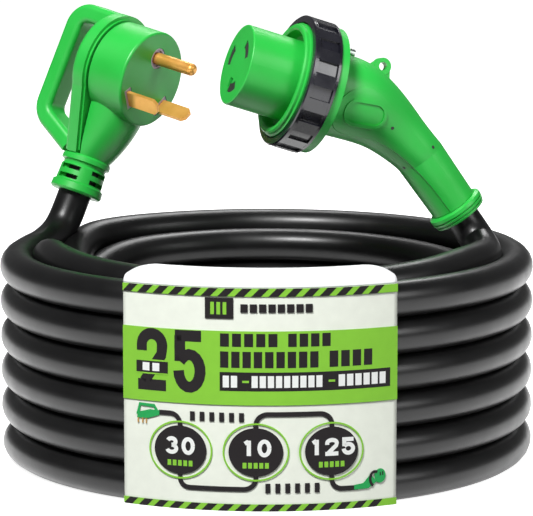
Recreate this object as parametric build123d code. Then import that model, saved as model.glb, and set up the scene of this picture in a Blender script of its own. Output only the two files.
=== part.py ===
"""Shore power cord: a coiled 30 A extension cord with a blade plug and a locking connector.

Millimetres, +Z up. The origin is on the floor, on the axis of the standing coil.
The coil lies flat, and the plug (left) and the elbow connector (right) stand up from it.
"""
import os
from math import acos, cos, degrees, radians, sin, tan

from build123d import *

# ---- the cord and its coil ----
CORD_D = 17.0
CORD_R = CORD_D / 2
OUTER_TURNS = 6
OUTER_RING_R = 120.5
INNER_TURNS = 4
INNER_RING_R = 103.5
INNER_TOP_Z = 85.0
TOP_TURN_R = 104.5
TOP_TURN_Z = 99.6
TOP_TURN_START, TOP_TURN_SWEEP = 142.0, 205.0
LAST_RING_Z = CORD_R + CORD_D * (OUTER_TURNS - 1)

# ---- the plug's own frame: +Z out along the blades, +Y up towards the ground pin ----
PLUG_ORIGIN = (-75.1, 75.0, 180.5)
PLUG_AXIS = Vector(0.788, -0.584, -0.197).normalized()
PLUG_UP = Vector(0.297, 0.080, 0.952)
BARREL_R = 24.5
BARREL_FRONT = 22.0
COVER_BACK = -9.0
COVER_R = 27.2
PLUG_NECK_END = (0.0, -48.3, -2.0)
PLUG_CORD_DIR = Vector(-0.148, -0.987, 0.054).normalized()
RELIEF_LENGTH = 19.0
GRIP_POINTS = ((22.0, -4.0), (22.5, -30.5), (-32.5, -35.2), (-44.5, -12.0))
GROUND_PIN_R, GROUND_PIN_Y, GROUND_PIN_REACH = 3.15, 11.0, 24.0
BLADE_WIDTH, BLADE_THICKNESS, BLADE_REACH = 8.2, 1.8, 18.5
BLADE_X, BLADE_Y = 13.4, -12.0
BLADE_TURN = 40.0
PIN_FOOT_Z = 8.0
CRIMP_LENGTH, CRIMP_R = 5.0, 2.5

# ---- the connector's own frame: +Z out along the barrel, +Y up, away from the handle ----
CONN_ORIGIN = (9.7, -14.0, 183.9)
CONN_AXIS = Vector(-0.905, -0.290, 0.310).normalized()
HANDLE_WORLD = Vector(0.570, 0.090, -0.816).normalized()
CONN_BARREL_R, CONN_BARREL_FRONT = 19.8, 26.5
DISH_R, DISH_BACK = 28.2, -9.0
BARREL_ROOT = -2.9
RING_R, RING_BORE_R, RING_WIDTH = 32.35, 29.0, 14.0
RING_LIP_R = 26.0
FLANGE_R, FLANGE_WIDTH = 31.0, 4.0
FLANGE_FRONT = -RING_WIDTH - 0.6
ELBOW_CORNER_Z = -54.3
ELBOW_END, HANDLE_LENGTH = 28.0, 63.0
HANDLE_R = 11.6
COLLAR_LENGTH = 6.3
SLOT_PITCH_R = 11.6
SLOT_WIDTH = 4.4
GRIP_BARS = 16
STUD_SPOT = (-6.0, 22.6, 0.0)
EYE_SPOT = (0, 19.9, -45.3)
EYE_HOLE_R = 2.1

# the raised panel on the elbow's sides: its edge as (y, z), from the handle's end round the head and back
PANEL_EDGE = (
    (-33.0, -101.0), (-14.3, -73.8), (-2.6, -54.0), (3.7, -41.5), (4.6, -32.0), (-2.2, -23.0), (-8.7, -20.8),
    (-16.2, -23.5), (-18.2, -31.0), (-17.2, -45.0), (-20.3, -62.0), (-28.5, -78.6), (-40.5, -96.0),
)
PANEL_RISE = 0.9
OVAL_SPOT, OVAL_LENGTH, OVAL_WIDTH, OVAL_TURN = (-7.4, -36.3), 22.4, 12.8, 7.0

# ---- the label ----
LABEL_R, LABEL_THICKNESS = 129.7, 0.8
LABEL_SWEEP, LABEL_MIDDLE_TURN = 57.0, 268.55
LABEL_BOTTOM, LABEL_BEND_Z, LABEL_BEND_R = 0.3, 101.0, 5.0
FLAP_TURN, FLAP_LENGTH = 80.0, 13.8

BOTTOM = (Align.CENTER, Align.CENTER, Align.MIN)


def frame(origin, axis, up):
    """A plane with z along axis and y as near to up as it can be."""
    across = up.cross(axis).normalized()
    return Plane(origin=origin, x_dir=across, z_dir=axis)


def local_point(plane, point):
    return Vector(plane.from_local_coords(Vector(*point)))


def local_dir(plane, direction):
    return plane.x_dir * direction.X + plane.y_dir * direction.Y + plane.z_dir * direction.Z


PLUG = frame(PLUG_ORIGIN, PLUG_AXIS, PLUG_UP)
CONN = frame(CONN_ORIGIN, CONN_AXIS, HANDLE_WORLD * -1)
ELBOW_TURN = acos(-(HANDLE_WORLD.dot(CONN_AXIS)))
HANDLE_DIR = Vector(0, -sin(ELBOW_TURN), -cos(ELBOW_TURN))
ELBOW_CORNER = Vector(0, 0, ELBOW_CORNER_Z)

PLUG_EXIT_DIR = local_dir(PLUG, PLUG_CORD_DIR)
PLUG_EXIT = local_point(PLUG, PLUG_NECK_END) + PLUG_EXIT_DIR * RELIEF_LENGTH
CONN_EXIT = local_point(CONN, ELBOW_CORNER + HANDLE_DIR * HANDLE_LENGTH)


def rod(radius, start_z, end_z):
    """A cylinder along z between two heights."""
    return Pos(0, 0, start_z) * Cylinder(radius, end_z - start_z, align=BOTTOM)


def ring(outer, inner, start_z, end_z):
    return rod(outer, start_z, end_z) - rod(inner, start_z - 1, end_z + 1)


def ring_point(radius, turn, height):
    """A point of the coil: its radius, its angle in degrees and its height."""
    return Vector(radius * cos(radians(turn)), radius * sin(radians(turn)), height)


def along(start, direction, side=Vector(1, 0, 0)):
    """A plane whose z runs along a direction."""
    return Plane(origin=start, x_dir=side, z_dir=direction)


# ---------------------------------------------------------------- the cord

def tube(name, points, radius=CORD_R):
    """A round tube of straight runs joined by arcs as large as the runs allow."""
    runs = [(b - a).length for a, b in zip(points, points[1:])]
    radii = []
    for i, corner in enumerate(points[1:-1]):
        before = corner - points[i]
        after = points[i + 2] - corner
        turn = radians(before.get_angle(after))
        radii.append(0.45 * min(runs[i], runs[i + 1]) / tan(turn / 2))
    if radius == CORD_R:
        print(name, "bend radii", [round(r, 1) for r in radii])
    path = FilletPolyline(*points, radius=radii)
    solid = sweep(path.location_at(0) * Circle(radius), path=path)
    expected = path.length * 3.14159265 * radius ** 2
    if radius == CORD_R:
        print(name, "length", round(path.length, 1), "volume", round(solid.volume / expected, 3))
    return solid


def cord_coil():
    """One closed solid of the outer shape of the stacked turns."""
    turns = [Pos(OUTER_RING_R, CORD_R + CORD_D * k) * Circle(CORD_R) for k in range(OUTER_TURNS)]
    turns += [Pos(INNER_RING_R, INNER_TOP_Z - CORD_D * k) * Circle(CORD_R) for k in range(INNER_TURNS)]
    low, high = CORD_R, LAST_RING_Z
    core = Pos(OUTER_RING_R - 2, (low + high) / 2) * Rectangle(CORD_D - 5, high - low)
    inner_low = INNER_TOP_Z - CORD_D * (INNER_TURNS - 1)
    inner_core = Pos(INNER_RING_R + 3, (inner_low + INNER_TOP_Z) / 2)
    inner_core = inner_core * Rectangle(CORD_D - 5, INNER_TOP_Z - inner_low)
    section = core + inner_core
    for turn in turns:
        section = section + turn
    body = revolve(Plane.XZ * section, axis=Axis.Z, revolution_arc=360)
    top_face = Pos(TOP_TURN_R, TOP_TURN_Z) * Circle(CORD_R)
    top = revolve(Plane.XZ * top_face, axis=Axis.Z, revolution_arc=TOP_TURN_SWEEP)
    return body + Rot(0, 0, TOP_TURN_START) * top


def plug_lead():
    """The cord from inside the plug's strain relief down into the top outer turn."""
    start = PLUG_EXIT - PLUG_EXIT_DIR * (RELIEF_LENGTH - 1)
    route = [
        start,
        PLUG_EXIT + PLUG_EXIT_DIR * 7,
        Vector(-105.0, 60.5, 99.5),
        Vector(-111.6, 47.0, 94.4),
        ring_point(OUTER_RING_R, 168, LAST_RING_Z),
        ring_point(OUTER_RING_R, 178, LAST_RING_Z),
    ]
    return tube("plug_lead", route)


def connector_lead():
    """The cord from inside the connector's handle down into the top inner turn."""
    out = local_dir(CONN, HANDLE_DIR)
    route = [
        CONN_EXIT - out * 14,
        CONN_EXIT + out * 12.0,
        Vector(106.6, -10.0, 98.7),
        Vector(103.0, -27.5, 99.4),
        ring_point(TOP_TURN_R, 337, TOP_TURN_Z),
    ]
    return tube("connector_lead", route)


# ---------------------------------------------------------------- the plug

def blade_spot(side):
    """Where a blade stands on the face: mirrored left and right, toed in at the bottom."""
    return Pos(side * BLADE_X, BLADE_Y, 0) * Rot(0, 0, -side * BLADE_TURN)


def plug_barrel_neck():
    barrel = rod(BARREL_R, 0.9, BARREL_FRONT)
    barrel = fillet(barrel.edges().group_by(Axis.Z)[-1], 1.2)
    end = Vector(*PLUG_NECK_END)
    upper = Plane(origin=(0, -8, 4.5), x_dir=(1, 0, 0), z_dir=PLUG_CORD_DIR) * Circle(17.0)
    middle = Plane(origin=(0, -26, 4.6), x_dir=(1, 0, 0), z_dir=PLUG_CORD_DIR) * Circle(15.2)
    lower = Plane(origin=end, x_dir=(1, 0, 0), z_dir=PLUG_CORD_DIR) * Circle(11.6)
    neck = loft([upper, middle, lower])
    front_half = Pos(0, -30, 0.9) * Box(80, 110, 40, align=BOTTOM)
    return barrel + (neck & front_half)


def plug_cavity():
    """The space inside for the pin carrier, the wire ends and the jacket."""
    chamber = rod(19.5, COVER_BACK + 3.5, 16.0)
    end = Vector(*PLUG_NECK_END)
    upper = Plane(origin=(0, -8, 3.5), x_dir=(1, 0, 0), z_dir=PLUG_CORD_DIR) * Circle(13.0)
    lower = Plane(origin=end + PLUG_CORD_DIR, x_dir=(1, 0, 0), z_dir=PLUG_CORD_DIR) * Circle(8.7)
    return chamber + loft([upper, lower])


def carrier_bosses(height, margin=0.0):
    """The raised seats of the pin carrier that show through the face."""
    bosses = Pos(0, GROUND_PIN_Y, 12) * Cylinder(GROUND_PIN_R + 2.2 + margin, height, align=BOTTOM)
    for side in (-1, 1):
        seat = Box(BLADE_THICKNESS + 3.2 + 2 * margin, BLADE_WIDTH + 3 + 2 * margin, height, align=BOTTOM)
        bosses += blade_spot(side) * Pos(0, 0, 12) * seat
    return bosses


def plug_body():
    shell = plug_barrel_neck() - plug_cavity()
    vent = Plane(origin=(5.5, -38, 8), z_dir=(0.35, 0, 1)) * Cylinder(1.1, 8)
    return shell - carrier_bosses(11.0, 0.1) - vent


def cover_outline():
    """A round plate that narrows to the neck like a drop."""
    low = PLUG_NECK_END[1] + 1.5
    taper = Polyline((-COVER_R * 0.985, -4), (-12.4, low), (12.4, low), (COVER_R * 0.985, -4), close=True)
    return Circle(COVER_R) + make_face(taper)


def plug_grip():
    """The D handle behind the cover, a rounded bar bent round three sides."""
    points = [Vector(0, y, z) for y, z in GRIP_POINTS]
    path = FilletPolyline(*points, radius=9)
    start = Plane(origin=points[0], x_dir=(1, 0, 0), z_dir=points[1] - points[0])
    return sweep(start * RectangleRounded(15.5, 9.6, 3.0), path=path)


def plug_rear_cover():
    """The rear shell: a drop-shaped flange, a domed back and the D handle."""
    plate = Pos(0, 0, COVER_BACK) * extrude(cover_outline(), -COVER_BACK)
    plate = fillet(plate.edges().group_by(Axis.Z)[0], 3.0)
    seam = extrude(cover_outline(), 1.0) - extrude(offset(cover_outline(), -1.8), 1.0)
    cover = plate - Pos(0, 0, -1.0) * seam
    relief_room = along(Vector(*PLUG_NECK_END), PLUG_CORD_DIR) * rod(14.0, -0.1, RELIEF_LENGTH)
    return cover + plug_grip() - plug_cavity() - relief_room


def plug_insulator():
    carrier = rod(19.2, PIN_FOOT_Z, 15.8) + carrier_bosses(9.7)
    carrier -= Pos(0, GROUND_PIN_Y, 0) * rod(GROUND_PIN_R + 0.05, 0, 30)
    recess = Pos(0, GROUND_PIN_Y, 20.7) * Cylinder(GROUND_PIN_R + 1.1, 4, align=BOTTOM)
    for side in (-1, 1):
        hole = Box(BLADE_THICKNESS + 0.1, BLADE_WIDTH + 0.1, 60)
        carrier -= blade_spot(side) * hole
    return carrier - recess


def ground_pin():
    """A round-nosed pin whose slimmer foot sits in the carrier."""
    foot = rod(GROUND_PIN_R - 0.2, PIN_FOOT_Z, BARREL_FRONT)
    pin = rod(GROUND_PIN_R, BARREL_FRONT, BARREL_FRONT + GROUND_PIN_REACH)
    pin = fillet(pin.edges().group_by(Axis.Z)[-1], 2.6)
    return Pos(0, GROUND_PIN_Y, 0) * (foot + pin)


def blade(side):
    length = BLADE_REACH + BARREL_FRONT - PIN_FOOT_Z
    flat = Pos(0, 0, PIN_FOOT_Z) * Box(BLADE_THICKNESS, BLADE_WIDTH, length, align=BOTTOM)
    corners = flat.edges().filter_by(Axis.X).group_by(Axis.Z)[-1]
    return blade_spot(side) * chamfer(corners, 2.0)


def contact_spots():
    """Where each pin's wire barrel sits, and the wire's entry from the jacket."""
    jacket = Vector(*PLUG_NECK_END) + PLUG_CORD_DIR * 0.2
    return {
        "ground": (Vector(0, GROUND_PIN_Y, PIN_FOOT_Z), jacket + Vector(0, 0.4, -3.4)),
        "hot": (Vector(-BLADE_X + 0.6, BLADE_Y + 1, PIN_FOOT_Z), jacket + Vector(-2.8, 0.6, 1.6)),
        "neutral": (Vector(BLADE_X - 0.6, BLADE_Y + 1, PIN_FOOT_Z), jacket + Vector(2.8, 0.6, 1.6)),
    }


def plug_crimps():
    """Three crimp barrels under the pins, all alike."""
    barrels = [Pos(*spot) * Rot(180, 0, 0) * rod(CRIMP_R, 0, CRIMP_LENGTH) for spot, _ in contact_spots().values()]
    return Compound(children=barrels)


def plug_conductor(name):
    """One insulated wire, from its crimp round into the end of the jacket."""
    spot, entry = contact_spots()[name]
    foot = spot - Vector(0, 0, CRIMP_LENGTH + 0.9)
    knee = foot + Vector(-0.3 * foot.X, -2, -2.0)
    points = [foot, knee, entry + Vector(entry.X * 0.8, 14, 2.6), entry]
    return tube(name, points, 2.1)


def plug_strain_relief():
    """A collar, a slotted sleeve and an end flange, turned about the cord."""
    n = RELIEF_LENGTH
    profile = Polyline(
        (8.65, 0), (11.8, 0), (12.6, 1.0), (12.6, 3.2), (11.2, 3.8), (10.9, 5.0), (11.6, 6.0),
        (12.0, n - 5.0), (13.2, n - 4.2), (13.4, n - 1.0), (12.6, n), (8.65, n), close=True,
    )
    sleeve = revolve(Plane.XZ * make_face(profile), axis=Axis.Z)
    for side in (0, 90, 180, 270):
        for height in (7.4, 12.2):
            sleeve -= Rot(0, 0, side) * Pos(12, 0, height) * Box(8, 11.5, 2.3)
    return along(Vector(*PLUG_NECK_END), PLUG_CORD_DIR) * sleeve


# ---------------------------------------------------------------- the connector

def handle_point(distance):
    """A point of the handle's axis, counted from the elbow's corner."""
    return ELBOW_CORNER + HANDLE_DIR * distance


def elbow_loft(extra=0.0):
    """The body from behind the ring round to the start of the straight handle."""
    stations = (
        ((0, 0, -17.0), 0.0, 22.0),
        ((0, 0, -25.0), 0.0, 20.3),
        ((0, -0.2, -39.0), 0.0, 19.4),
        ((0, -3.4, -50.5), 0.3, 16.8),
        ((0, -9.0, -62.0), 0.65, 14.0),
        (handle_point(ELBOW_END), 1.0, 12.2),
    )
    sections = []
    for spot, share, radius in stations:
        turn = ELBOW_TURN * share
        direction = Vector(0, -sin(turn), -cos(turn))
        sections.append(Plane(origin=spot, x_dir=(1, 0, 0), z_dir=direction) * Circle(radius + extra))
    return loft(sections)


def handle_cone(start, end, start_r, end_r):
    """A straight round length of the handle, or of the channel inside it."""
    cone = Cone(start_r, end_r, end - start, align=BOTTOM) if start_r != end_r else rod(end_r, 0, end - start)
    return along(handle_point(start), HANDLE_DIR) * cone


def elbow_skin(extra=0.0):
    """The elbow and its handle as one round shape, larger all round by extra."""
    handle = handle_cone(ELBOW_END, HANDLE_LENGTH - COLLAR_LENGTH - 0.2, 12.2 + extra, HANDLE_R + extra)
    return elbow_loft(extra) + handle


def wire_channel():
    """The space inside for the contact tails, the wires and the jacket's end."""
    mouth = Plane(origin=(0, 0, -40), x_dir=(1, 0, 0), z_dir=(0, 0, -1)) * Circle(14.0)
    bend = Plane(origin=handle_point(16.0), x_dir=(1, 0, 0), z_dir=HANDLE_DIR) * Circle(9.4)
    room = rod(17.0, -40.0, 0) + loft([mouth, bend])
    return room + handle_cone(16.0, 44.0, 9.4, 8.65) + handle_cone(44.0, HANDLE_LENGTH + 1, 8.65, 8.65)


def eye_lug():
    """The tab on top of the elbow that carries the hanging eye."""
    centre = Pos(*EYE_SPOT) * Rot(0, 90, 0)
    stem = Polygon((10.0, -36.0), (17.6, -37.6), (22.3, -42.0), (22.0, -48.6), (14.0, -50.5), (8.0, -50.5), align=None)
    return centre * Cylinder(4.2, 4.6) + extrude(Plane.YZ * stem, 2.0, both=True)


def panel_prism(start_x):
    """Everything inside the panel's outline on one side of the elbow."""
    edge = [Vector(0, y, z) for y, z in PANEL_EDGE]
    outline = make_face([Spline(*edge), Line(edge[-1], edge[0])])
    return Pos(start_x, 0, 0) * extrude(outline, 30, dir=(1 if start_x > 0 else -1, 0, 0))


def oval_prism(margin):
    """Everything inside the oval seat's outline, larger all round by margin."""
    outline = SlotOverall(OVAL_LENGTH + 2 * margin, OVAL_WIDTH + 2 * margin)
    plane = Plane(origin=(0, *OVAL_SPOT), x_dir=(0, sin(radians(OVAL_TURN)), -cos(radians(OVAL_TURN))), z_dir=(1, 0, 0))
    return extrude(plane * outline, 40, both=True)


def side_panels():
    """The raised panel on both sides, each with a rim round its oval seat."""
    raised = elbow_skin(PANEL_RISE)
    rim_skin = elbow_loft(PANEL_RISE + 0.7) & (oval_prism(0.0) - oval_prism(-1.5))
    panels = None
    for start_x in (4.0, -4.0):
        side = Pos(start_x * 6, -10, -60) * Box(40, 120, 120)
        panel = (raised & panel_prism(start_x)) + (rim_skin & side)
        panels = panel if panels is None else panels + panel
    return panels


def connector_body():
    body = elbow_skin() + side_panels() + eye_lug()
    body += rod(FLANGE_R, FLANGE_FRONT - FLANGE_WIDTH, FLANGE_FRONT)
    body -= wire_channel()
    body -= Pos(*EYE_SPOT) * Rot(0, 90, 0) * Cylinder(EYE_HOLE_R, 20)
    return body - Pos(*STUD_SPOT) * rod(1.95, FLANGE_FRONT - 10, FLANGE_FRONT - 1)


def slot_arc(turn, sweep_angle, width):
    """A curved slot outline round the barrel's axis."""
    outer = SLOT_PITCH_R + width / 2
    inner = SLOT_PITCH_R - width / 2
    first, last = turn - sweep_angle / 2, turn + sweep_angle / 2
    annulus = Circle(outer) - Circle(inner)
    far = 2 * outer
    wedge = Polygon(
        (0, 0),
        (far * cos(radians(first)), far * sin(radians(first))),
        (far * cos(radians(last)), far * sin(radians(last))),
        align=None,
    )
    return annulus & wedge


SLOT_TURNS = {"hot": 35.0, "neutral": 155.0, "ground": 275.0}


def slot_outline(name, width, trim=0.0):
    outline = slot_arc(SLOT_TURNS[name], 46.0 - trim, width)
    if name == "ground":
        foot_turn = SLOT_TURNS[name] - 19.0
        foot = Rot(0, 0, foot_turn) * Pos(SLOT_PITCH_R - 2.4, 0) * Rectangle(5.0 - trim / 4, width)
        outline += foot
    return outline


def connector_face():
    """The barrel with its three slots, and the spigot that holds it in the body."""
    barrel = rod(CONN_BARREL_R, BARREL_ROOT, CONN_BARREL_FRONT)
    barrel = fillet(barrel.edges().group_by(Axis.Z)[-1], 0.8)
    root = rod(CONN_BARREL_R - 0.2, DISH_BACK, BARREL_ROOT)
    face = barrel + root + rod(16.8, -20.0, DISH_BACK + 0.5)
    for name in SLOT_TURNS:
        face -= extrude(slot_outline(name, SLOT_WIDTH), CONN_BARREL_FRONT + 1)
        face -= Pos(0, 0, -25) * extrude(slot_outline(name, 4.0), 26)
    return face


def face_dish():
    """The dished base round the barrel, with a stepped rim that stands inside the ring."""
    inside = CONN_BARREL_R + 0.05
    profile = Polyline(
        (inside, DISH_BACK), (DISH_R, DISH_BACK), (DISH_R, 0.4), (DISH_R - 0.9, 0.9), (DISH_R - 0.9, 2.2),
        (DISH_R - 1.6, 2.9), (DISH_R - 3.2, 2.9), (DISH_R - 4.0, 2.2), (DISH_R - 5.0, -2.6), (inside, -3.4), close=True,
    )
    return revolve(Plane.XZ * make_face(profile), axis=Axis.Z)


def connector_contact(name):
    """A spring contact behind its slot, with a solid tail."""
    leaf = Pos(0, 0, -20.0) * extrude(slot_outline(name, 3.6, 2.0), 19.5)
    turn = SLOT_TURNS[name]
    tail = Pos(SLOT_PITCH_R * cos(radians(turn)), SLOT_PITCH_R * sin(radians(turn)), 0) * rod(1.5, -24.0, -19.0)
    return leaf + tail


def lock_ring():
    """The threaded ring: a front lip, a thin back edge, raised grip bars and an inner back lip."""
    band = ring(RING_R - 1.2, RING_BORE_R, -RING_WIDTH, 0)
    front = ring(RING_R, RING_BORE_R, -2.4, 0)
    front = chamfer(front.edges().group_by(Axis.Z)[-1].sort_by(SortBy.RADIUS)[-1], 0.6)
    band += front
    band += ring(RING_R, RING_BORE_R, -RING_WIDTH, -RING_WIDTH + 1.2)
    band += ring(RING_BORE_R + 0.5, RING_LIP_R, -RING_WIDTH, -RING_WIDTH + 1.6)
    bar_width = 3.14159265 * RING_R / GRIP_BARS
    bar_length = RING_WIDTH - 3
    for i in range(GRIP_BARS):
        bar = Pos(RING_R - 1.3, 0, -2 - bar_length / 2) * Box(2.4, bar_width, bar_length)
        band += Rot(0, 0, i * 360 / GRIP_BARS) * bar
    for i in range(3):
        band += ring(RING_BORE_R + 0.1, RING_BORE_R - 0.5, -9.0 + i * 2.6, -8.0 + i * 2.6)
    return band


def ring_gasket():
    """The flat seal behind the dish that the inlet presses on."""
    return ring(DISH_R - 0.1, 17.2, DISH_BACK - 1.5, DISH_BACK - 0.1)


def ring_stop():
    """The spacer that the lock ring's inner lip turns round."""
    return ring(RING_LIP_R - 0.5, 17.2, FLANGE_FRONT + 0.05, DISH_BACK - 1.6)


def index_stud():
    """The small metal stud that stands out behind the rear flange."""
    back = FLANGE_FRONT - FLANGE_WIDTH
    stud = rod(1.9, back - 13.0, FLANGE_FRONT - 1.2)
    return Pos(*STUD_SPOT) * (stud + rod(2.2, back - 13.5, back - 11.5))


def tail_spots():
    spots = {}
    jacket = handle_point(HANDLE_LENGTH - 17.5)
    offsets = {"ground": (0, -2.6), "hot": (3.0, 2.4), "neutral": (-3.0, 2.4)}
    for name, turn in SLOT_TURNS.items():
        tail = Vector(SLOT_PITCH_R * cos(radians(turn)), SLOT_PITCH_R * sin(radians(turn)), -24.0)
        across, lift = offsets[name]
        spots[name] = (tail, jacket + Vector(across, lift, 0))
    return spots


def connector_crimps():
    barrels = [Pos(*tail) * Rot(180, 0, 0) * rod(2.6, 0, 6) for tail, _ in tail_spots().values()]
    return Compound(children=barrels)


def connector_conductor(name):
    tail, entry = tail_spots()[name]
    bend = entry - HANDLE_DIR * 32 + Vector(entry.X, 0, 0)
    points = [tail + Vector(0, 0, -6.9), tail + Vector(0, 0, -12), bend, entry]
    return tube(name, points, 2.1)


def connector_end_collar():
    """The flange at the handle's end, with two grooves round it."""
    profile = Polyline(
        (8.65, 0), (HANDLE_R + 1.0, 0), (14.0, 0.9), (14.2, 2.4), (13.4, 2.7), (13.4, 3.1), (14.1, 3.4),
        (13.9, 4.3), (13.1, 4.6), (13.1, 5.0), (13.6, 5.3), (13.2, 6.3), (8.65, 6.3), close=True,
    )
    collar = revolve(Plane.XZ * make_face(profile), axis=Axis.Z)
    start = handle_point(HANDLE_LENGTH - COLLAR_LENGTH)
    return along(start, HANDLE_DIR) * collar


# ---------------------------------------------------------------- the label

def label_sleeve():
    """The printed card round the front of the coil, with its flap bent over the top."""
    centre_r = LABEL_R - LABEL_BEND_R
    half = LABEL_THICKNESS / 2

    def bend_point(radius, turn):
        return (centre_r + radius * cos(radians(turn)), LABEL_BEND_Z + radius * sin(radians(turn)))

    def flap_end(radius):
        x, z = bend_point(radius, FLAP_TURN)
        return (x - FLAP_LENGTH * sin(radians(FLAP_TURN)), z + FLAP_LENGTH * cos(radians(FLAP_TURN)))

    edges = []
    for radius in (LABEL_BEND_R + half, LABEL_BEND_R - half):
        wall = Line((centre_r + radius, LABEL_BOTTOM), bend_point(radius, 0))
        arc = ThreePointArc(bend_point(radius, 0), bend_point(radius, FLAP_TURN / 2), bend_point(radius, FLAP_TURN))
        edges += [wall, arc, Line(bend_point(radius, FLAP_TURN), flap_end(radius))]
    edges.append(Line((LABEL_R + half, LABEL_BOTTOM), (LABEL_R - half, LABEL_BOTTOM)))
    edges.append(Line(flap_end(LABEL_BEND_R + half), flap_end(LABEL_BEND_R - half)))
    section = make_face(edges)
    card = revolve(Plane.XZ * section, axis=Axis.Z, revolution_arc=LABEL_SWEEP)
    return Rot(0, 0, LABEL_MIDDLE_TURN - LABEL_SWEEP / 2) * card


# ---------------------------------------------------------------- write every node

PLUG_NODES = {
    "plug_body": plug_body(),
    "plug_rear_cover": plug_rear_cover(),
    "plug_insulator": plug_insulator(),
    "ground_pin": ground_pin(),
    "hot_blade": blade(-1),
    "neutral_blade": blade(1),
    "plug_crimps": plug_crimps(),
    "plug_conductor_ground": plug_conductor("ground"),
    "plug_conductor_hot": plug_conductor("hot"),
    "plug_conductor_neutral": plug_conductor("neutral"),
    "plug_strain_relief": plug_strain_relief(),
}
CONN_NODES = {
    "connector_body": connector_body(),
    "connector_face": connector_face(),
    "face_dish": face_dish(),
    "lock_ring": lock_ring(),
    "ring_gasket": ring_gasket(),
    "ring_stop": ring_stop(),
    "index_stud": index_stud(),
    "connector_contact_ground": connector_contact("ground"),
    "connector_contact_hot": connector_contact("hot"),
    "connector_contact_neutral": connector_contact("neutral"),
    "connector_crimps": connector_crimps(),
    "connector_conductor_ground": connector_conductor("ground"),
    "connector_conductor_hot": connector_conductor("hot"),
    "connector_conductor_neutral": connector_conductor("neutral"),
    "connector_end_collar": connector_end_collar(),
}
CORD_NODES = {
    "cord_coil": cord_coil(),
    "plug_lead": plug_lead(),
    "connector_lead": connector_lead(),
    "label_sleeve": label_sleeve(),
}

os.makedirs("parts", exist_ok=True)
print("elbow", round(degrees(ELBOW_TURN), 1), "plug exit", PLUG_EXIT, "connector exit", CONN_EXIT)
for nodes, place in ((PLUG_NODES, PLUG.location), (CONN_NODES, CONN.location), (CORD_NODES, Location())):
    for name, shape in nodes.items():
        export_step(place * shape, f"parts/{name}.step")
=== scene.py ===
"""Looks of the shore power cord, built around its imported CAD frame. Lengths are in metres."""
import math

import bmesh
import bpy
from mathutils import Matrix, Vector


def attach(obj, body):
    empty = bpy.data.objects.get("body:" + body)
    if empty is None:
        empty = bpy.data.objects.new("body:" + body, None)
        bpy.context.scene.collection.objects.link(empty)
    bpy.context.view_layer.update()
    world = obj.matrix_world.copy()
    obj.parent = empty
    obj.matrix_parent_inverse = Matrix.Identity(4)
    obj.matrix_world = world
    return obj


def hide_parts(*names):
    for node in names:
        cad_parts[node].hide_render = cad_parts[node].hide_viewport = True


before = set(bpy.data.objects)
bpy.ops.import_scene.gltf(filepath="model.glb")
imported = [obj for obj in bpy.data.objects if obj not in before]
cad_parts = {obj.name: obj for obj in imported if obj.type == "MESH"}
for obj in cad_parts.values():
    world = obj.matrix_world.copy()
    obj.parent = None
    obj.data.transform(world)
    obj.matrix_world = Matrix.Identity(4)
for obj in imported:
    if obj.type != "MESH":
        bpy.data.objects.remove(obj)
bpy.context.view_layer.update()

MM = 0.001

# ---------------------------------------------------------------- the object's own measures

CORD_D = 0.017
OUTER_R = 0.1205
INNER_R = 0.1035
TOP_LEVEL = 0.0935
TURN_STEP = 10
CONTROL_SWELL = 1 / 0.9915

PLUG_ORIGIN = Vector((-0.0751, 0.0750, 0.1805))
PLUG_AXIS = Vector((0.788, -0.584, -0.197)).normalized()
PLUG_UP = Vector((0.297, 0.080, 0.952))
CONN_ORIGIN = Vector((0.0097, -0.0140, 0.1839))
CONN_AXIS = Vector((-0.905, -0.290, 0.310)).normalized()
HANDLE_AXIS = Vector((0.570, 0.090, -0.816)).normalized()
ELBOW_CORNER_Z = -0.0543
HANDLE_LENGTH = 0.0630

LABEL_R = 0.1301
LABEL_HALF_ANGLE = math.radians(28.5)
LABEL_MIDDLE_TURN = math.radians(268.55)


def frame_axes(origin, axis, up):
    """A matrix whose z runs along axis and whose y is as near to up as it can be."""
    across = up.cross(axis).normalized()
    high = axis.cross(across)
    return Matrix.Translation(origin) @ Matrix((across, high, axis)).transposed().to_4x4()


PLUG = frame_axes(PLUG_ORIGIN, PLUG_AXIS, PLUG_UP)
CONN = frame_axes(CONN_ORIGIN, CONN_AXIS, -HANDLE_AXIS)


# ---------------------------------------------------------------- materials

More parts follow.
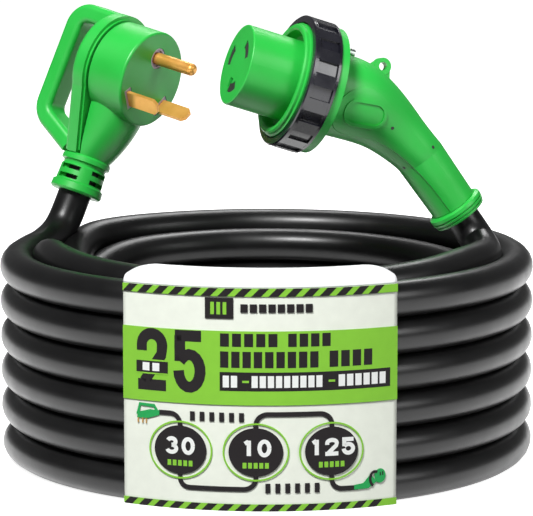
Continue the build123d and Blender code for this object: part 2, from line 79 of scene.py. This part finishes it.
class Nodes:
    """A new material with its shader, and short ways to add and join nodes."""

    def __init__(self, name):
        self.material = bpy.data.materials.new(name)
        self.material.use_nodes = True
        self.tree = self.material.node_tree
        self.shader = self.tree.nodes["Principled BSDF"]

    def add(self, kind, **settings):
        node = self.tree.nodes.new(kind)
        for key, value in settings.items():
            if hasattr(node, key):
                setattr(node, key, value)
            else:
                node.inputs[key.replace("_", " ")].default_value = value
        return node

    def join(self, out, into):
        self.tree.links.new(out, into)

    def set(self, **values):
        for key, value in values.items():
            self.shader.inputs[key.replace("_", " ")].default_value = value

    def noise(self, scale, detail=3.0, stretch=(1, 1, 1)):
        place = self.add("ShaderNodeTexCoord")
        mapping = self.add("ShaderNodeMapping", Scale=stretch)
        noise = self.add("ShaderNodeTexNoise", Scale=scale, Detail=detail)
        self.join(place.outputs["Object"], mapping.inputs["Vector"])
        self.join(mapping.outputs["Vector"], noise.inputs["Vector"])
        return noise.outputs["Fac"]

    def ramp(self, fac, low, high, start=0.3, end=0.7):
        ramp = self.add("ShaderNodeValToRGB")
        ramp.color_ramp.elements[0].position = start
        ramp.color_ramp.elements[1].position = end
        ramp.color_ramp.elements[0].color = low
        ramp.color_ramp.elements[1].color = high
        self.join(fac, ramp.inputs["Fac"])
        return ramp.outputs["Color"]

    def bump(self, height, strength, distance):
        bump = self.add("ShaderNodeBump", Strength=strength, Distance=distance)
        self.join(height, bump.inputs["Height"])
        self.join(bump.outputs["Normal"], self.shader.inputs["Normal"])


def grey(value):
    return (value, value, value, 1)


def green_plastic():
    m = Nodes("green_plastic")
    m.set(IOR=1.48, Coat_Weight=0.12, Coat_Roughness=0.3)
    colour = m.ramp(m.noise(35), (0.012, 0.41, 0.040, 1), (0.018, 0.47, 0.055, 1))
    m.join(colour, m.shader.inputs["Base Color"])
    m.join(m.ramp(m.noise(90), grey(0.40), grey(0.48)), m.shader.inputs["Roughness"])
    m.bump(m.noise(2600, 2), 0.12, 0.0002)
    return m.material


def black_plastic():
    m = Nodes("black_plastic")
    m.set(IOR=1.5, Coat_Weight=0.5, Coat_Roughness=0.08)
    colour = m.ramp(m.noise(60), (0.004, 0.004, 0.008, 1), (0.008, 0.008, 0.014, 1))
    m.join(colour, m.shader.inputs["Base Color"])
    m.join(m.ramp(m.noise(120), grey(0.20), grey(0.30)), m.shader.inputs["Roughness"])
    m.bump(m.noise(1500, 2), 0.08, 0.0002)
    return m.material


def pin_brass():
    m = Nodes("pin_brass")
    m.set(Metallic=0.55)
    m.join(m.ramp(m.noise(120), (0.70, 0.33, 0.06, 1), (0.86, 0.45, 0.11, 1)), m.shader.inputs["Base Color"])
    m.join(m.ramp(m.noise(300, 4, (1, 1, 8)), grey(0.30), grey(0.42)), m.shader.inputs["Roughness"])
    m.bump(m.noise(900, 3, (1, 1, 6)), 0.06, 0.0002)
    return m.material


def carrier_plastic():
    m = Nodes("carrier_plastic")
    m.set(IOR=1.46)
    m.join(m.ramp(m.noise(70), (0.50, 0.44, 0.62, 1), (0.58, 0.52, 0.70, 1)), m.shader.inputs["Base Color"])
    m.join(m.ramp(m.noise(150), grey(0.45), grey(0.55)), m.shader.inputs["Roughness"])
    m.bump(m.noise(1800, 2), 0.08, 0.0002)
    return m.material


def jacket_rubber():
    m = Nodes("jacket_rubber")
    m.set(IOR=1.42, Coat_Weight=0.05, Coat_Roughness=0.3)
    colour = m.ramp(m.noise(40, 4), (0.0022, 0.0022, 0.0024, 1), (0.0040, 0.0040, 0.0042, 1))
    m.join(colour, m.shader.inputs["Base Color"])
    m.join(m.ramp(m.noise(60, 4), grey(0.30), grey(0.40)), m.shader.inputs["Roughness"])
    m.bump(m.noise(1200, 3), 0.10, 0.0003)
    return m.material


def wire_plastic(name, colour):
    m = Nodes(name)
    darker = (colour[0] * 0.8, colour[1] * 0.8, colour[2] * 0.8, 1)
    m.join(m.ramp(m.noise(200), darker, colour), m.shader.inputs["Base Color"])
    m.join(m.ramp(m.noise(200), grey(0.38), grey(0.48)), m.shader.inputs["Roughness"])
    return m.material


def stud_steel():
    m = Nodes("stud_steel")
    m.set(Metallic=1.0)
    m.join(m.ramp(m.noise(300), (0.32, 0.38, 0.34, 1), (0.50, 0.56, 0.52, 1)), m.shader.inputs["Base Color"])
    m.join(m.ramp(m.noise(300), grey(0.28), grey(0.42)), m.shader.inputs["Roughness"])
    return m.material


# Black rubber for the gasket, also used as painted shade: the black sheets in the barrel's slots and the
# black discs for the elbow's holes.
def seal_rubber_and_shade():
    m = Nodes("seal_rubber_and_shade")
    m.join(m.ramp(m.noise(80), grey(0.010), grey(0.018)), m.shader.inputs["Base Color"])
    m.join(m.ramp(m.noise(80), grey(0.55), grey(0.7)), m.shader.inputs["Roughness"])
    return m.material


def printed_card(name, colour):
    """Coated card in one ink: a faint fibre in its colour and a soft shine."""
    m = Nodes(name)
    m.set(IOR=1.4, Specular_IOR_Level=0.2, Coat_Weight=0.02, Coat_Roughness=0.35)
    faded = (colour[0] * 0.95, colour[1] * 0.95, colour[2] * 0.95, 1)
    m.join(m.ramp(m.noise(180, 5), faded, colour), m.shader.inputs["Base Color"])
    m.join(m.ramp(m.noise(220, 4), grey(0.42), grey(0.52)), m.shader.inputs["Roughness"])
    m.bump(m.noise(1500, 4), 0.05, 0.0002)
    return m.material


GREEN = green_plastic()
BLACK = black_plastic()
BRASS = pin_brass()
CARRIER = carrier_plastic()
JACKET = jacket_rubber()
STEEL = stud_steel()
SEAL_AND_SHADE = seal_rubber_and_shade()
CARD_WHITE = printed_card("card_white", (0.86, 0.87, 0.89, 1))
CARD_CREAM = printed_card("card_cream", (0.84, 0.88, 0.78, 1))
INK_GREEN = printed_card("ink_green", (0.235, 0.565, 0.045, 1))
INK_BLACK = printed_card("ink_black", (0.008, 0.006, 0.007, 1))
INK_WHITE = printed_card("ink_white", (0.85, 0.87, 0.85, 1))
INK_PLUG = printed_card("ink_plug", (0.02, 0.36, 0.09, 1))
INK_BRASS = printed_card("ink_brass", (0.55, 0.32, 0.10, 1))


def dress(node, material):
    """Gives a CAD node its finished material."""
    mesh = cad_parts[node].data
    mesh.materials.clear()
    mesh.materials.append(material)


def dress_cad_nodes():
    wire_green = wire_plastic("wire_green", (0.02, 0.32, 0.06, 1))
    wire_black = wire_plastic("wire_black", grey(0.02))
    wire_white = wire_plastic("wire_white", grey(0.75))
    finishes = {
        GREEN: ("plug_body", "plug_rear_cover", "plug_strain_relief", "connector_body", "connector_face",
                "face_dish", "connector_end_collar"),
        BLACK: ("lock_ring",),
        CARRIER: ("plug_insulator", "ring_stop"),
        SEAL_AND_SHADE: ("ring_gasket",),
        STEEL: ("index_stud",),
        BRASS: ("ground_pin", "hot_blade", "neutral_blade", "plug_crimps", "connector_crimps",
                "connector_contact_ground", "connector_contact_hot", "connector_contact_neutral"),
        wire_green: ("plug_conductor_ground", "connector_conductor_ground"),
        wire_black: ("plug_conductor_hot", "connector_conductor_hot"),
        wire_white: ("plug_conductor_neutral", "connector_conductor_neutral"),
    }
    for material, names in finishes.items():
        for name in names:
            dress(name, material)


# ---------------------------------------------------------------- pieces

def add_piece(obj, material, body="cord", smooth=True):
    """Links a piece, gives it its material, and makes it ride on its body."""
    if obj.name not in bpy.context.scene.collection.objects:
        bpy.context.scene.collection.objects.link(obj)
    if material is not None:
        obj.data.materials.append(material)
    if smooth and obj.type == "MESH":
        obj.data.shade_smooth()
    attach(obj, body)
    return obj


def mesh_object(name, vertices, faces):
    mesh = bpy.data.meshes.new(name)
    mesh.from_pydata([tuple(v) for v in vertices], [], faces)
    mesh.update()
    return bpy.data.objects.new(name, mesh)


# ---------------------------------------------------------------- the cord

def ring_point(radius, turn, height):
    return Vector((radius * math.cos(math.radians(turn)), radius * math.sin(math.radians(turn)), height))


def coil_stations():
    """Angle, radius, level and tilt of the coil where any of them changes, from the plug's end on."""
    stations = [(168, OUTER_R, TOP_LEVEL, 0)]
    stations += [(490, OUTER_R, TOP_LEVEL, 0), (500, 0.1190, 0.0930, 0), (510, 0.1105, 0.0900, 0)]
    stations += [(520, 0.1010, 0.0875, 0), (530, 0.0940, 0.0855, 0), (540, 0.0905, 0.0843, 0)]
    stations += [(555, 0.0940, 0.0830, 0), (570, 0.1000, 0.0817, 0), (585, INNER_R, 0.0820, 0.0037)]
    level = 0.082
    for step_down in (855, 1215, 1575):
        stations += [(step_down, INNER_R, level, 0.0037)]
        stations += [(step_down + 20, 0.101, level - CORD_D / 2, 0.0037)]
        stations += [(step_down + 40, INNER_R, level - CORD_D, 0.0037)]
        level -= CORD_D
    stations += [(1780, INNER_R, level, 0.0037)]
    stations += [(1860, INNER_R, CORD_D / 2, 0), (1942, INNER_R, CORD_D / 2, 0)]
    stations += [(1984, OUTER_R, CORD_D / 2, 0)]
    level = CORD_D / 2
    for step_up in (2290, 2650, 3010, 3370):
        stations += [(step_up, OUTER_R, level, 0), (step_up + 42, OUTER_R, level + CORD_D, 0)]
        level += CORD_D
    stations += [(3730, OUTER_R, level, 0), (3750, 0.1180, 0.0760, 0), (3760, 0.1125, 0.0800, 0)]
    stations += [(3770, 0.1080, 0.0890, 0), (3780, 0.1050, 0.0970, 0), (3792, 0.1038, 0.0996, 0)]
    stations += [(3870, 0.1038, 0.0957, 0), (3925, 0.1045, 0.0992, 0)]
    return stations


def coil_points():
    """Control points every few degrees, worked out between the stations."""
    stations = coil_stations()
    points = []
    here = 0
    first, last = stations[0][0], stations[-1][0]
    for turn in range(first, last, TURN_STEP):
        while stations[here + 1][0] <= turn:
            here += 1
        before, after = stations[here], stations[here + 1]
        share = (turn - before[0]) / (after[0] - before[0])
        radius, level, tilt = (before[i] + (after[i] - before[i]) * share for i in (1, 2, 3))
        points.append(ring_point(radius * CONTROL_SWELL, turn, level + tilt * math.sin(math.radians(turn))))
    return points


def cord_route():
    plug_out = (PLUG.to_3x3() @ Vector((-0.148, -0.987, 0.054))).normalized()
    plug_exit = PLUG @ Vector((0, -0.0483, -0.002)) + plug_out * 0.019
    turn = math.acos(-HANDLE_AXIS.dot(CONN_AXIS))
    handle = Vector((0, -math.sin(turn), -math.cos(turn)))
    conn_exit = CONN @ (Vector((0, 0, ELBOW_CORNER_Z)) + handle * HANDLE_LENGTH)
    out = CONN.to_3x3() @ handle
    start = [
        plug_exit - plug_out * 0.018,
        plug_exit + plug_out * 0.007,
        Vector((-0.1050, 0.0605, 0.0995)),
        Vector((-0.1116, 0.0470, 0.0944)),
    ]
    end = [
        ring_point(0.1045, 337, 0.0996),
        Vector((0.1030, -0.0275, 0.0994)),
        Vector((0.1066, -0.0100, 0.0987)),
        conn_exit + out * 0.0120,
        conn_exit - out * 0.014,
    ]
    return start + coil_points() + end, plug_exit


def make_cord():
    points, plug_exit = cord_route()
    curve = bpy.data.curves.new("cord", "CURVE")
    curve.dimensions = "3D"
    curve.resolution_u = 10
    curve.bevel_depth = CORD_D / 2
    curve.bevel_resolution = 8
    curve.use_fill_caps = True
    spline = curve.splines.new("NURBS")
    spline.points.add(len(points) - 1)
    for point, place in zip(spline.points, points):
        point.co = (*place, 1)
    spline.order_u = 3
    spline.use_endpoint_u = True
    cord = bpy.data.objects.new("cord", curve)
    add_piece(cord, JACKET)
    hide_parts("cord_coil", "plug_lead", "connector_lead")


# ---------------------------------------------------------------- the label

LABEL_TOP = 0.1023
FLAP_BEND_R = 0.0045
FLAP_REACH = 0.0142
FLAP_TURN = math.radians(80)
FLAP_CORNER = 0.009
CARD_LIFT = -0.0004
LAYER = 0.00006
CUT = 0.0022


def label_point(s, height, lift=0.0):
    """A point on the card: arc length from its middle line, height up the card, and lift off it."""
    turn = s / LABEL_R + LABEL_MIDDLE_TURN
    if height <= LABEL_TOP:
        radius, z = LABEL_R + lift, height
    else:
        past = height - LABEL_TOP
        bend = min(past / FLAP_BEND_R, FLAP_TURN)
        rest = max(past - FLAP_BEND_R * FLAP_TURN, 0.0)
        radius = LABEL_R - FLAP_BEND_R + (FLAP_BEND_R + lift) * math.cos(bend) - rest * math.sin(FLAP_TURN)
        z = LABEL_TOP + (FLAP_BEND_R + lift) * math.sin(bend) + rest * math.cos(FLAP_TURN)
    return Vector((radius * math.cos(turn), radius * math.sin(turn), z))


def make_card(name, low, high, rows, material):
    """A fine grid of card between two heights; the corners of the flap's edge are rounded."""
    half = LABEL_R * LABEL_HALF_ANGLE
    edge = LABEL_TOP + FLAP_BEND_R * FLAP_TURN + FLAP_REACH
    columns = 64
    vertices = []
    for j in range(rows + 1):
        up = low + (high - low) * (1 - (1 - j / rows) ** 1.6)
        below_edge = edge - up
        pull = 0.0
        if below_edge < FLAP_CORNER:
            pull = FLAP_CORNER - math.sqrt(FLAP_CORNER ** 2 - (FLAP_CORNER - below_edge) ** 2)
        for i in range(columns + 1):
            vertices.append(label_point((half - pull) * (2 * i / columns - 1), up, CARD_LIFT))
    faces = []
    for j in range(rows):
        for i in range(columns):
            a = j * (columns + 1) + i
            faces.append((a, a + 1, a + columns + 2, a + columns + 1))
    card = mesh_object(name, vertices, faces)
    thick = card.modifiers.new("thickness", "SOLIDIFY")
    thick.thickness = 0.0006
    thick.offset = -1
    return add_piece(card, material)


def print_on_card(name, outlines, layer, material):
    """Flat outlines of (s, height) points in millimetres, cut fine and laid on the card as a thin print."""
    flat = bmesh.new()
    for outline in outlines:
        corners = [flat.verts.new((s * MM, z * MM, 0)) for s, z in outline]
        flat.faces.new(corners)
    low = min(v.co.x for v in flat.verts)
    high = max(v.co.x for v in flat.verts)
    for i in range(1, int((high - low) / CUT) + 1):
        everything = flat.verts[:] + flat.edges[:] + flat.faces[:]
        bmesh.ops.bisect_plane(flat, geom=everything, plane_co=(low + i * CUT, 0, 0), plane_no=(1, 0, 0))
    for vertex in flat.verts:
        vertex.co = label_point(vertex.co.x, vertex.co.y, LAYER * layer)
    for face in flat.faces:
        face.normal_update()
        outward = face.calc_center_median() * Vector((1, 1, 0))
        if face.normal.dot(outward) < 0:
            face.normal_flip()
    mesh = bpy.data.meshes.new(name)
    flat.to_mesh(mesh)
    flat.free()
    add_piece(bpy.data.objects.new(name, mesh), material, smooth=False)


def bar(left, right, low, high):
    return [(left, low), (right, low), (right, high), (left, high)]


def blocks(left, right, low, high, count, fill=0.74):
    """A row of plain blocks that stands for a printed word."""
    pitch = (right - left) / count
    return [bar(left + i * pitch, left + (i + fill) * pitch, low, high) for i in range(count)]


def arc(x, z, width, height, start, end, steps=16):
    """Points along an ellipse's arc, from one angle to another in degrees."""
    turns = [math.radians(start + (end - start) * i / steps) for i in range(steps + 1)]
    return [(x + width / 2 * math.cos(t), z + height / 2 * math.sin(t)) for t in turns]


def disc(x, z, width, height):
    return arc(x, z, width, height, 0, 360, 48)[:-1]


def stroke(points, width):
    """A band of even width along a line, as one outline for each run."""
    sides = []
    for i, (x, z) in enumerate(points):
        before = Vector(points[max(i - 1, 0)])
        after = Vector(points[min(i + 1, len(points) - 1)])
        along = (after - before).normalized()
        sides.append(((x - along.y * width / 2, z + along.x * width / 2),
                      (x + along.y * width / 2, z - along.x * width / 2)))
    return [[a[0], a[1], b[1], b[0]] for a, b in zip(sides, sides[1:])]


DIGIT_LINES = {
    "0": (arc(0.5, 0.5, 1, 1, 0, 360, 32),),
    "1": ([(0.25, 0.82), (0.62, 1.0)], [(0.66, 1.06), (0.66, -0.06)]),
    "2": ([(0, 0.66)] + arc(0.5, 0.78, 1, 0.44, 180, -10) + [(0.96, 0.6), (0.12, 0.06)],
          [(-0.2, 0.0), (1.18, 0.0)]),
    "3": (arc(0.47, 0.76, 0.86, 0.48, 160, -90), arc(0.47, 0.26, 1, 0.52, 90, -165)),
    "5": ([(1.05, 1.0), (-0.17, 1.0)], [(0.06, 1.0), (0.06, 0.5)],
          [(0.06, 0.5)] + arc(0.5, 0.32, 1, 0.64, 130, -180)),
}


def digits(text, left, low, width, height, gap, thick):
    """Numerals drawn as even strokes in boxes of one size."""
    outlines = []
    for i, character in enumerate(text):
        start = left + i * (width + gap) + thick / 2
        for line in DIGIT_LINES[character]:
            points = [(start + x * (width - thick), low + thick / 2 + z * (height - thick)) for x, z in line]
            outlines += stroke(points, thick)
    return outlines


def hazard_stripes(low, high):
    """Slanted black stripes across the whole card."""
    half = LABEL_R * LABEL_HALF_ANGLE / MM
    slant = high - low
    pitch, width = 7.65, 4.3
    count = int(2 * half / pitch)
    stripes = []
    for i in range(count):
        x = -half + i * pitch
        stripes.append([(x, low), (x + width, low), (x + width + slant, high), (x + slant, high)])
    return stripes


RATINGS = (("30", -36.3), ("10", -1.5), ("125", 33.0))
RATING_Z = 27.6


def make_rating(text, x):
    """A black disc in a thin green ring, with a number and a green bar."""
    print_on_card("rating_ring_" + text, stroke(arc(x, RATING_Z, 29.4, 26.0, 0, 360, 48), 0.8), 2, INK_GREEN)
    print_on_card("rating_disc_" + text, [disc(x, RATING_Z, 24.7, 22.4)], 3, INK_BLACK)
    width, gap = 6.3, 1.4
    left = x - (len(text) * (width + gap) - gap) / 2
    number = digits(text, left, RATING_Z - 2.2, width, 8.2, gap, 1.9)
    print_on_card("rating_number_" + text, number, 4, INK_WHITE)
    word = blocks(x - 6.0, x + 6.6, RATING_Z - 7.4, RATING_Z - 4.8, 5, 0.7)
    print_on_card("rating_bar_" + text, word, 4, INK_GREEN)


def make_cord_drawing():
    """The drawing of the cord: a line through the three discs between a small plug and connector."""
    runs = [
        [(-46.5, 44.2), (-41, 44.2)] + arc(-41, 39.2, 9.4, 10, 90, 0) + [(-36.3, 36)],
        [(-36.3, 18), (-36.3, 14.5)] + arc(-31.8, 14.5, 9, 8, 180, 270) + [(-7, 10.5)]
        + arc(-7, 15.5, 11, 10, 270, 360) + [(-1.5, 18)],
        [(-1.5, 36), (-1.5, 40)] + arc(4, 40, 11, 10, 180, 90) + [(27.5, 45)]
        + arc(27.5, 40, 11, 10, 90, 0) + [(33.0, 36)],
        [(33.0, 18), (33.0, 14.5)] + arc(38, 14.5, 10, 9, 180, 270) + [(45.5, 10.0)],
    ]
    lines = []
    for run in runs:
        lines += stroke(run, 2.2)
    print_on_card("drawn_cord", lines, 1, INK_BLACK)
    plug = stroke([(-57.2, 42.4), (-56.0, 47.3), (-48.8, 47.0), (-47.6, 44.8)], 1.5)
    plug += [[(-57.6, 40.8), (-52.0, 41.0), (-46.4, 42.8), (-46.2, 45.0), (-51.0, 45.2), (-56.8, 43.6)]]
    print_on_card("drawn_plug", plug, 2, INK_PLUG)
    pins = [bar(x, x + 0.7, 38.6, 40.9) for x in (-57.3, -55.0, -53.2)]
    print_on_card("drawn_pins", pins, 2, INK_BRASS)
    elbow = [[(43.6, 9.0), (50.5, 9.2), (54.5, 12.0), (51.5, 15.6), (48.0, 11.8), (43.6, 11.2)]]
    elbow.append(disc(56.2, 14.6, 5.6, 6.6))
    print_on_card("drawn_connector", elbow, 2, INK_PLUG)
    print_on_card("drawn_lock_ring", stroke(arc(53.6, 13.4, 4.6, 6.6, 60, 250), 1.3), 3, INK_BLACK)
    print_on_card("drawn_slots", [bar(56.0, 56.6, 14.6, 16.2), bar(57.2, 57.8, 14.8, 16.4)], 3, INK_BLACK)


def make_label():
    half = LABEL_R * LABEL_HALF_ANGLE / MM
    fold = LABEL_TOP + FLAP_BEND_R * FLAP_TURN + FLAP_REACH
    card = make_card("label_card", 0.0003, LABEL_TOP, 40, CARD_CREAM)
    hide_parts("label_sleeve")
    make_card("label_flap", LABEL_TOP, fold, 40, CARD_WHITE)
    bands = [bar(-half, half, 0.35, 3.6), bar(-half, half, 49.1, 82.9), bar(-half, half, 98.6, 102.3)]
    print_on_card("label_bands", bands, 1, INK_GREEN)
    print_on_card("label_stripes", hazard_stripes(0.35, 3.6) + hazard_stripes(98.6, 102.3), 2, INK_BLACK)
    print_on_card("label_badge", [bar(-24.5, -11.6, 88.5, 98.0)], 1, INK_BLACK)
    badge = blocks(-22.0, -13.6, 90.4, 96.0, 3, 0.6)
    print_on_card("label_badge_mark", badge, 2, INK_GREEN)
    print_on_card("label_heading", blocks(-8.4, 25.0, 91.4, 95.2, 8, 0.78), 1, INK_BLACK)
    print_on_card("label_number", digits("25", -57.4, 54.0, 15.2, 28.6, 2.8, 5.1), 2, INK_BLACK)
    print_on_card("label_unit_edge", [bar(-57.6, -42.0, 61.5, 68.2)], 3, INK_GREEN)
    print_on_card("label_unit", [bar(-57.6, -42.0, 62.2, 67.5)], 4, INK_BLACK)
    print_on_card("label_unit_mark", blocks(-54.4, -44.6, 63.0, 66.7, 2, 0.7), 5, INK_WHITE)
    words = blocks(-17.6, 9.6, 75.8, 81.8, 5) + blocks(13.0, 33.6, 75.8, 81.8, 4)
    words += blocks(-17.6, 28.0, 66.2, 73.6, 9) + blocks(31.8, 53.4, 66.2, 73.6, 4)
    print_on_card("label_words", words, 2, INK_BLACK)
    print_on_card("label_strip", [bar(-17.8, 61.0, 55.6, 64.2)], 2, INK_BLACK)
    uses = blocks(-16.4, -9.0, 57.2, 62.6, 2, 0.76) + blocks(-3.4, 29.4, 57.2, 62.6, 9, 0.76)
    uses += blocks(36.0, 59.6, 57.2, 62.6, 6, 0.76)
    print_on_card("label_uses", uses, 3, INK_WHITE)
    print_on_card("label_dashes", [bar(-7.6, -4.6, 59.4, 60.4), bar(31.4, 34.4, 59.4, 60.4)], 3, INK_GREEN)
    types = blocks(-31.6, -4.6, 41.4, 45.6, 6, 0.5) + blocks(2.8, 29.6, 8.8, 13.2, 6, 0.5)
    print_on_card("label_types", types, 1, INK_BLACK)
    for text, x in RATINGS:
        make_rating(text, x)
    make_cord_drawing()


# ---------------------------------------------------------------- small marks and painted shade on the connector

HOLE_SPOTS = ((-0.0096, -0.0525), (-0.0120, -0.0770), (-0.0248, -0.0678))
HOLE_R = 0.00085
HOLE_LIFT = 0.00008
HOLE_CORNERS = 20
SLOT_R, SLOT_WIDTH = 0.0116, 0.0043
BARREL_FRONT = 0.0265
SHADOW_DEPTH = 0.0003
SHADOW_HALF_ANGLE = 22.6
SHADOW_STEPS = 14
SLOT_TURNS = {"hot": 35.0, "neutral": 155.0, "ground": 275.0}


def make_pin_holes():
    """Three flat black discs on the near side of the elbow, set where its skin is: painted shade standing
    for three small ejector holes.
    """
    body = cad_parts["connector_body"]
    inverse = body.matrix_world.inverted()
    for i, (y, z) in enumerate(HOLE_SPOTS):
        start = inverse @ (CONN @ Vector((0.04, y, z)))
        toward = (inverse.to_3x3() @ (CONN.to_3x3() @ Vector((-1, 0, 0)))).normalized()
        hit, spot, normal, _ = body.ray_cast(start, toward)
        if not hit:
            continue
        centre = body.matrix_world @ spot
        out = (body.matrix_world.to_3x3() @ normal).normalized()
        side = out.orthogonal().normalized()
        up = out.cross(side)
        rim = []
        for k in range(HOLE_CORNERS):
            t = math.tau * k / HOLE_CORNERS
            rim.append(centre + out * HOLE_LIFT + (side * math.cos(t) + up * math.sin(t)) * HOLE_R)
        hole = mesh_object(f"elbow_hole_{i + 1}", rim, [tuple(range(HOLE_CORNERS))])
        # The black disc is painted shade for the dark inside of the hole.
        add_piece(hole, SEAL_AND_SHADE, smooth=False)


def make_slot_shadows():
    """A black sheet just inside each slot of the barrel: painted shade, because the slots are deep and dark.
    """
    outer, inner = SLOT_R + SLOT_WIDTH / 2, SLOT_R - SLOT_WIDTH / 2
    height = BARREL_FRONT - SHADOW_DEPTH
    last = 2 * SHADOW_STEPS + 1
    for name, middle in SLOT_TURNS.items():
        first = middle - SHADOW_HALF_ANGLE
        step = 2 * SHADOW_HALF_ANGLE / SHADOW_STEPS
        turns = [math.radians(first + step * i) for i in range(SHADOW_STEPS + 1)]
        outline = [(outer * math.cos(t), outer * math.sin(t)) for t in turns]
        outline += [(inner * math.cos(t), inner * math.sin(t)) for t in reversed(turns)]
        corners = [CONN @ Vector((x, y, height)) for x, y in outline]
        faces = [(i, i + 1, last - 1 - i, last - i) for i in range(SHADOW_STEPS)]
        add_piece(mesh_object("slot_shadow_" + name, corners, faces), SEAL_AND_SHADE, smooth=False)


# ---------------------------------------------------------------- stage

FLOOR_CORNERS = ((-6, -6, 0), (6, -6, 0), (6, 10, 0), (-6, 10, 0))
CAMERA_PLACE = (0, -1.486, 0.3344)
CAMERA_TILT = math.radians(80.857)
CAMERA_LENS = 208.4
LIGHTS_AIM = Vector((0, 0, 0.1))


def make_stage():
    """A white floor that looks lit but throws no diffuse light, a dim room and three soft lights."""
    floor = mesh_object("floor", FLOOR_CORNERS, [(0, 1, 2, 3)])
    bpy.context.scene.collection.objects.link(floor)
    paint = Nodes("floor_paint")
    paint.set(Roughness=0.7, Emission_Color=grey(1.0), Emission_Strength=0.9)
    paint.join(paint.ramp(paint.noise(3), grey(0.86), grey(0.88)), paint.shader.inputs["Base Color"])
    floor.data.materials.append(paint.material)
    floor.visible_diffuse = False
    world = bpy.data.worlds.new("studio")
    world.use_nodes = True
    world.node_tree.nodes["Background"].inputs["Color"].default_value = (1, 1, 1, 1)
    world.node_tree.nodes["Background"].inputs["Strength"].default_value = 0.14
    bpy.context.scene.world = world
    bpy.context.scene.view_settings.view_transform = "Standard"
    add_light("key", (-0.5, -1.1, 1.6), 0.5, 54)
    add_light("fill", (1.3, -0.9, 0.9), 0.7, 9)
    add_light("back", (0.2, 1.2, 1.3), 0.6, 9)


def add_light(name, place, size, power):
    light = bpy.data.lights.new(name, "AREA")
    light.size = size
    light.energy = power
    obj = bpy.data.objects.new(name, light)
    obj.location = place
    aim = LIGHTS_AIM - Vector(place)
    obj.rotation_euler = aim.to_track_quat("-Z", "Y").to_euler()
    bpy.context.scene.collection.objects.link(obj)


def make_camera():
    camera = bpy.data.cameras.new("camera")
    camera.lens = CAMERA_LENS
    camera.sensor_width = 36
    camera.clip_end = 50
    obj = bpy.data.objects.new("camera", camera)
    obj.location = CAMERA_PLACE
    obj.rotation_euler = (CAMERA_TILT, 0, 0)
    bpy.context.scene.collection.objects.link(obj)
    bpy.context.scene.camera = obj


make_camera()
make_stage()
dress_cad_nodes()
make_cord()
make_pin_holes()
make_slot_shadows()
make_label()
